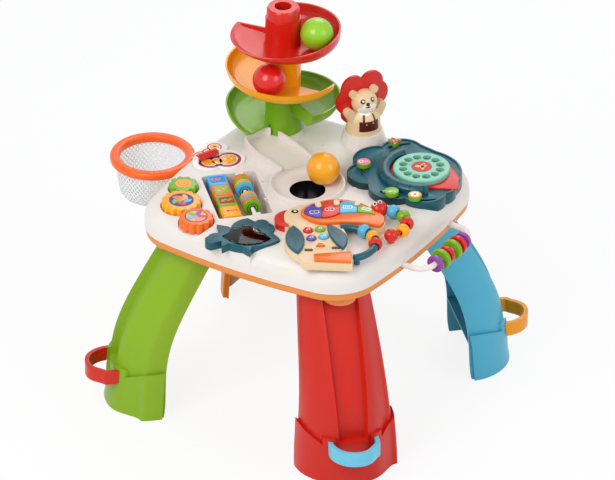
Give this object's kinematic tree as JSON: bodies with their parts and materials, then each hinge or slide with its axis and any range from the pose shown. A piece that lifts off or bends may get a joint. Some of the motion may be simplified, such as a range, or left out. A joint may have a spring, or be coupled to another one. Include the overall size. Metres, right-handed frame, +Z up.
{
  "type": "musical activity table",
  "caption": "Activity table for a small child: square top on four arched legs, three-tier ball tower, dish, gears, blocks, bead rail, dial tray, toucan keyboard, net hoop.",
  "frame": {"origin": "on the floor under the middle of the ball dish", "axes": "+Z up, +X towards the side with the bead rail, -X towards the side with the hoop"},
  "size_m": [0.5915, 0.506, 0.548],
  "materials": {
    "warm_white": "satin",
    "rim_orange": "satin",
    "green": "satin",
    "red": "satin",
    "blue": "satin",
    "yellow": "satin",
    "loop_colours": "satin",
    "tower_red": "gloss",
    "tower_yellow": "gloss",
    "tower_green": "gloss",
    "ball_green": "gloss",
    "ball_red": "gloss",
    "ball_orange": "gloss",
    "black_plastic": "matt",
    "steel": "brushed",
    "circuit_green": "satin",
    "cream": "satin",
    "teal": "gloss",
    "mint": "gloss",
    "orange": "gloss",
    "clear": "clear",
    "block_blue": "gloss",
    "purple": "gloss",
    "net_white": "woven mesh",
    "hoop_orange": "gloss",
    "bead_colours": "gloss"
  },
  "bodies": {
    "table": {"top_shell": "warm_white", "bottom_shell": "rim_orange", "leg_green": "green", "leg_red": "red", "leg_blue": "blue", "leg_yellow": "yellow", "leg_loops": "loop_colours", "battery_door": "rim_orange", "batteries": "black_plastic", "sound_module": "circuit_green", "screws": "steel", "ball_dish": "warm_white", "ramp_red": "tower_red", "ramp_yellow": "tower_yellow", "ramp_green": "tower_green", "butterfly_plate": "warm_white", "tray_rods": "warm_white", "fish_frame": "teal", "fish_window": "clear", "toucan_body": "cream", "toucan_key_bed": "orange", "toucan_wings": "teal", "bead_ring": "warm_white", "worm_rod": "red", "bird_tray": "teal", "bird_beak": "red", "rail_tube": "warm_white", "hoop_ring": "hoop_orange", "hoop_net": "net_white"},
    "ball_green": {"ball_green": "ball_green"},
    "ball_red": {"ball_red": "ball_red"},
    "ball_orange": {"ball_orange": "ball_orange"},
    "lion": {"lion_figure": "cream", "lion_mane": "red"},
    "roller": {"ribbed_roller": "red"},
    "gear_yellow": {"gear_yellow": "tower_yellow"},
    "gear_green": {"gear_green": "tower_green"},
    "gear_orange": {"gear_orange": "orange"},
    "block_blue": {"block_blue": "block_blue"},
    "block_orange": {"block_orange": "orange"},
    "block_green": {"block_green": "tower_green"},
    "block_yellow": {"block_yellow": "tower_yellow"},
    "discs": {"disc_stacks": "bead_colours"},
    "ring_beads": {"ring_beads": "bead_colours"},
    "worm_beads": {"worm_beads": "bead_colours"},
    "key_purple": {"key_purple": "purple"},
    "key_red": {"key_red": "red"},
    "key_blue": {"key_blue": "block_blue"},
    "key_green": {"key_green": "tower_green"},
    "button_red": {"button_red": "red"},
    "button_green": {"button_green": "tower_green"},
    "button_purple": {"button_purple": "purple"},
    "button_blue": {"button_blue": "block_blue"},
    "switch": {"switch_slider": "orange"},
    "dial": {"bird_dial": "mint"},
    "slider_melon": {"slider_melon": "red"},
    "slider_berry": {"slider_berry": "tower_green"},
    "slider_pear": {"slider_pear": "tower_green"},
    "slider_orange": {"slider_orange": "tower_green"},
    "rail_beads": {"rail_beads": "bead_colours"}
  },
  "joints": [
    {"name": "ball_green_lift", "type": "slide", "parent": "table", "child": "ball_green", "axis": [0, 0, 1], "range_m": [0, 0.075]},
    {"name": "ball_orange_lift", "type": "slide", "parent": "table", "child": "ball_orange", "axis": [0, 0, 1], "range_m": [0, 0.06]},
    {"name": "ball_red_roll", "type": "hinge", "parent": "table", "child": "ball_red", "pos_m": [-0.117, 0.1185, 0.44853], "axis": [0.0807, 0.0127, 0.9967], "range_deg": [-40, 0]},
    {"name": "lion_press", "type": "slide", "parent": "table", "child": "lion", "axis": [0, 0, 1], "range_m": [-0.005, 0], "stiffness_N_per_m": 300, "springref_m": 0.01},
    {"name": "roller_spin", "type": "hinge", "parent": "table", "child": "roller", "pos_m": [-0.1685, -0.0155, 0.34], "axis": [0.3795, 0.9252, 0], "continuous": true},
    {"name": "gear_yellow_spin", "type": "hinge", "parent": "table", "child": "gear_yellow", "pos_m": [-0.1311, -0.1444, 0.33], "axis": [0, 0, 1], "continuous": true},
    {"name": "gear_green_spin", "type": "hinge", "parent": "table", "child": "gear_green", "pos_m": [-0.1546, -0.1025, 0.33], "axis": [0, 0, 1], "continuous": true},
    {"name": "gear_orange_spin", "type": "hinge", "parent": "table", "child": "gear_orange", "pos_m": [-0.0871, -0.172, 0.33], "axis": [0, 0, 1], "continuous": true},
    {"name": "block_blue_spin", "type": "hinge", "parent": "table", "child": "block_blue", "pos_m": [-0.0898, -0.0898, 0.3175], "axis": [0.7071, -0.7071, 0], "continuous": true},
    {"name": "block_orange_spin", "type": "hinge", "parent": "table", "child": "block_orange", "pos_m": [-0.0898, -0.0898, 0.3175], "axis": [0.7071, -0.7071, 0], "continuous": true},
    {"name": "block_green_spin", "type": "hinge", "parent": "table", "child": "block_green", "pos_m": [-0.0898, -0.0898, 0.3175], "axis": [0.7071, -0.7071, 0], "continuous": true},
    {"name": "block_yellow_spin", "type": "hinge", "parent": "table", "child": "block_yellow", "pos_m": [-0.0898, -0.0898, 0.3175], "axis": [0.7071, -0.7071, 0], "continuous": true},
    {"name": "discs_spin", "type": "hinge", "parent": "table", "child": "discs", "pos_m": [-0.06435, -0.06435, 0.322], "axis": [0.7071, -0.7071, 0], "continuous": true},
    {"name": "ring_beads_slide", "type": "hinge", "parent": "table", "child": "ring_beads", "pos_m": [0.14305, -0.12347, 0.341], "axis": [0, 0, 1], "range_deg": [-45, 1]},
    {"name": "worm_beads_slide", "type": "hinge", "parent": "table", "child": "worm_beads", "pos_m": [0.15786, -0.04705, 0.341], "axis": [0, 0, 1], "range_deg": [-5, 0]},
    {"name": "key_purple_press", "type": "slide", "parent": "table", "child": "key_purple", "axis": [0, 0, 1], "range_m": [-0.002, 0], "stiffness_N_per_m": 200, "springref_m": 0.003},
    {"name": "key_red_press", "type": "slide", "parent": "table", "child": "key_red", "axis": [0, 0, 1], "range_m": [-0.002, 0], "stiffness_N_per_m": 200, "springref_m": 0.003},
    {"name": "key_blue_press", "type": "slide", "parent": "table", "child": "key_blue", "axis": [0, 0, 1], "range_m": [-0.002, 0], "stiffness_N_per_m": 200, "springref_m": 0.003},
    {"name": "key_green_press", "type": "slide", "parent": "table", "child": "key_green", "axis": [0, 0, 1], "range_m": [-0.002, 0], "stiffness_N_per_m": 200, "springref_m": 0.003},
    {"name": "button_red_press", "type": "slide", "parent": "table", "child": "button_red", "axis": [0, 0, 1], "range_m": [-0.0018, 0], "stiffness_N_per_m": 200, "springref_m": 0.003},
    {"name": "button_green_press", "type": "slide", "parent": "table", "child": "button_green", "axis": [0, 0, 1], "range_m": [-0.0018, 0], "stiffness_N_per_m": 200, "springref_m": 0.003},
    {"name": "button_purple_press", "type": "slide", "parent": "table", "child": "button_purple", "axis": [0, 0, 1], "range_m": [-0.0018, 0], "stiffness_N_per_m": 200, "springref_m": 0.003},
    {"name": "button_blue_press", "type": "slide", "parent": "table", "child": "button_blue", "axis": [0, 0, 1], "range_m": [-0.0018, 0], "stiffness_N_per_m": 200, "springref_m": 0.003},
    {"name": "switch_move", "type": "slide", "parent": "table", "child": "switch", "axis": [0.8485, 0.5292, 0], "range_m": [-0.003, 0.003]},
    {"name": "dial_spin", "type": "hinge", "parent": "table", "child": "dial", "pos_m": [0.1315, 0.1115, 0.345], "axis": [0, 0, 1], "continuous": true},
    {"name": "slider_melon_slide", "type": "hinge", "parent": "table", "child": "slider_melon", "pos_m": [0.1315, 0.1115, 0.345], "axis": [0, 0, 1], "range_deg": [-14.5, 5.5]},
    {"name": "slider_berry_slide", "type": "hinge", "parent": "table", "child": "slider_berry", "pos_m": [0.1315, 0.1115, 0.345], "axis": [0, 0, 1], "range_deg": [-15, 14]},
    {"name": "slider_pear_slide", "type": "hinge", "parent": "table", "child": "slider_pear", "pos_m": [0.1315, 0.1115, 0.345], "axis": [0, 0, 1], "range_deg": [-14, 7]},
    {"name": "slider_orange_slide", "type": "hinge", "parent": "table", "child": "slider_orange", "pos_m": [0.1315, 0.1115, 0.345], "axis": [0, 0, 1], "range_deg": [-1.5, 19]},
    {"name": "rail_beads_spin", "type": "hinge", "parent": "table", "child": "rail_beads", "pos_m": [0.241, 0.011, 0.288], "axis": [0, 1, 0], "continuous": true}
  ],
  "couplings": [
    {"joint": "gear_green_spin", "follows": "gear_yellow_spin", "ratio": -1.4},
    {"joint": "gear_orange_spin", "follows": "gear_yellow_spin", "ratio": -1.1667}
  ]
}
